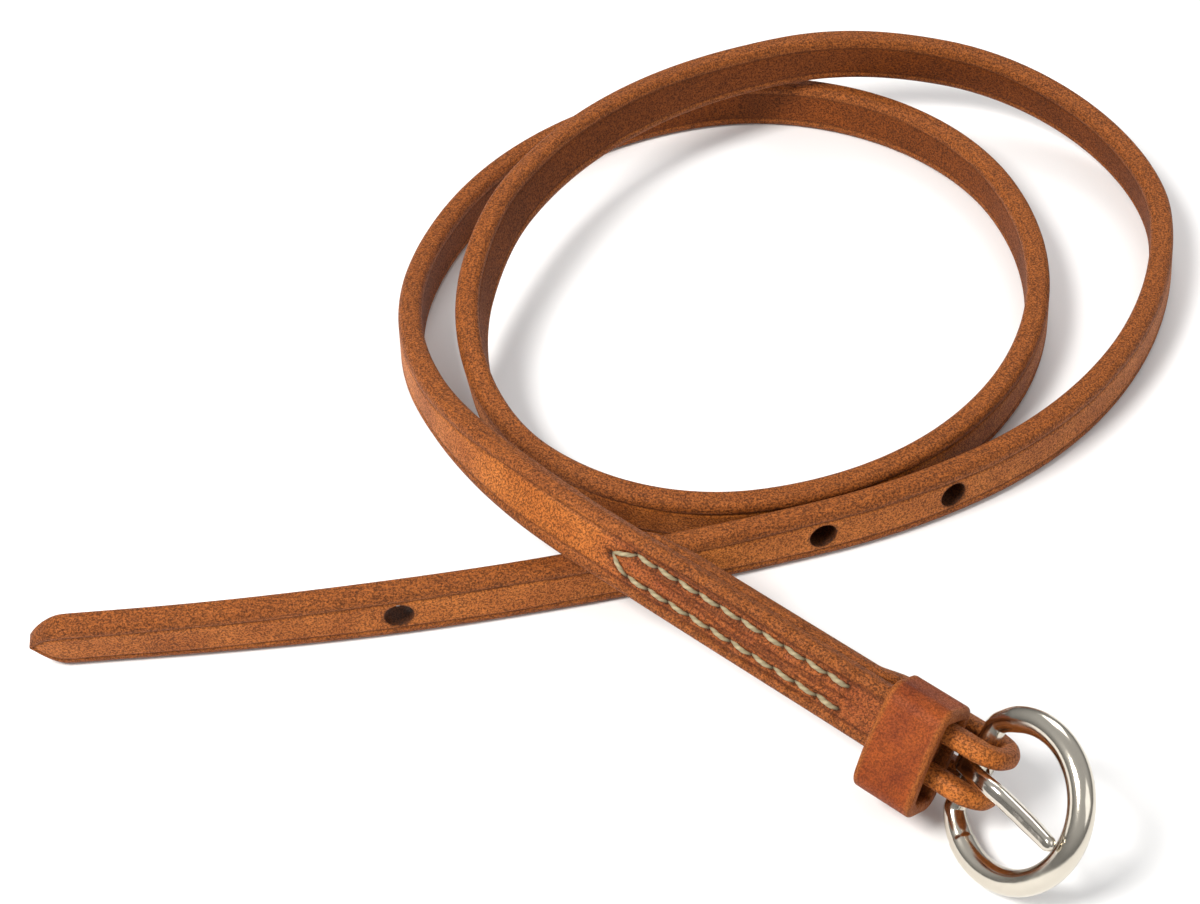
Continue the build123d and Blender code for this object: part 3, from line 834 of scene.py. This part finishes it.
plate = bpy.data.node_groups.new("plated_surface", "ShaderNodeTree")
plate.interface.new_socket("Waviness", in_out="INPUT", socket_type="NodeSocketFloat")
plate.interface.new_socket("Haze", in_out="OUTPUT", socket_type="NodeSocketFloat")
plate.interface.new_socket("Height", in_out="OUTPUT", socket_type="NodeSocketFloat")
plate_in = put(plate, "NodeGroupInput")
plate_out = put(plate, "NodeGroupOutput")
plate_at = put(plate, "ShaderNodeTexCoord")
cast_wave = put(plate, "ShaderNodeTexNoise", [(plate_at.outputs["Object"], "Vector"),
                (plate_in.outputs["Waviness"], "Scale")], Detail=2.0)
haze = put(plate, "ShaderNodeTexNoise", [(plate_at.outputs["Object"], "Vector")],
           Scale=900.0, Detail=5.0, Roughness=0.7)
plate.links.new(cast_wave.outputs[0], plate_out.inputs["Height"])
plate.links.new(haze.outputs[0], plate_out.inputs["Haze"])


def nickel(name, waviness, base):
    """Bright nickel plate over a slightly wavy casting, faintly hazed by handling."""
    material = bpy.data.materials.new(name)
    material.use_nodes = True
    tree = material.node_tree
    shader = tree.nodes["Principled BSDF"]
    surface = put(tree, "ShaderNodeGroup", set_node_tree=plate)
    surface.inputs["Waviness"].default_value = waviness
    tree.links.new(blend_colour(tree, surface.outputs["Haze"], (*base, 1),
                                tuple(0.86 * c for c in base) + (1,)),
                   shader.inputs["Base Color"])
    rough = compute(tree, "ADD", compute(tree, "MULTIPLY", surface.outputs["Haze"], 0.12),
                    0.10)
    tree.links.new(rough, shader.inputs["Roughness"])
    shader.inputs["Metallic"].default_value = 1.0
    bump = put(tree, "ShaderNodeBump", [(surface.outputs["Height"], "Height")],
               Strength=0.30, Distance=0.00012)
    tree.links.new(bump.outputs[0], shader.inputs["Normal"])
    return material


buckle.data.materials.append(nickel("bright_nickel_ring", 260.0, (0.67, 0.62, 0.53)))
staple.data.materials.clear()
staple.data.materials.append(staple_wire)

# ------------------------------------------------------------------ tongue
# Bent from flattened wire: an eye wraps the heel bar between the lobes, and the arm
# runs to the rim, leaning a little to one side, where its tip rests on the ring.
eye_clear, eye_half = 0.06, 0.6        # running clearance, half the eye's metal
eye_r = bar_dia / 2 + eye_clear + eye_half
eye_turn = np.radians(np.linspace(-62, -270, 44))
arm_t = np.linspace(0, 1, 60)[1:]
tip_x = ring_centre + ring_radius - 0.3
arm_x = tip_x * arm_t
arm_knots = np.array([0, 3.0, 6.6, 8.4, 0.6 * tip_x, 0.8 * tip_x, tip_x])
arm_z = np.interp(arm_x, arm_knots, [eye_r, 3.00, 3.45, 2.90, 2.75, 2.85, 3.10])
arm_y = np.interp(arm_x, arm_knots, [0.0, 0.15, 0.40, 0.20, 0.00, -0.20, -0.45])
for _ in range(5):                                        # ease the bends of the arm
    arm_z[1:-1] = (arm_z[:-2] + 2 * arm_z[1:-1] + arm_z[2:]) / 4
    arm_y[1:-1] = (arm_y[:-2] + 2 * arm_y[1:-1] + arm_y[2:]) / 4
line = np.concatenate([
    np.stack([eye_r * np.cos(eye_turn), 0 * eye_turn, eye_r * np.sin(eye_turn)], 1),
    np.stack([arm_x, arm_y, arm_z], 1)])
tangent = np.gradient(line, axis=0)
tangent /= np.linalg.norm(tangent, axis=1)[:, None]
sideways = np.cross(np.cross(tangent, [0.0, 1.0, 0.0]), tangent)
sideways /= np.linalg.norm(sideways, axis=1)[:, None]
upward = np.cross(tangent, sideways)
on_arm = np.clip(line[:, 0] / 5.0, 0, 1) * (np.arange(len(line)) >= len(eye_turn))
# half thickness and half width, from flattened at the eye to nearly round
half_t = 0.58 + 0.50 * ease(on_arm)
half_w = 1.38 - 0.10 * ease(on_arm)
near_tip = np.clip((tip_x - line[:, 0]) / 1.3, 0, 1)
point = np.where(np.arange(len(line)) > len(eye_turn),
                 np.sqrt(1 - (1 - near_tip) ** 2 + 1e-4), 1.0)
point = point * (0.86 + 0.14 * ease((tip_x - line[:, 0]) / 6.0))
ring = round_ring(8, 9, 3)
wide, thick = ring_points(ring, half_w * point, half_t * point,
                          np.minimum(half_w, half_t) * point * 0.86)
grid = (line[:, None] + sideways[:, None] * wide[..., None]
        + upward[:, None] * thick[..., None])
tongue_skin = Skin()
tongue_skin.add(from_ring(grid.reshape(-1, 3)).reshape(grid.shape),
                np.arange(len(line)) * 0.3 * mm, np.linspace(0, 8, wide.shape[1]) * mm)
tongue = tongue_skin.build("buckle_tongue_arm")
tongue.data.materials.append(nickel("bright_nickel_tongue", 520.0, (0.66, 0.61, 0.53)))
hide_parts("buckle_tongue")
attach(tongue, "tongue_body")
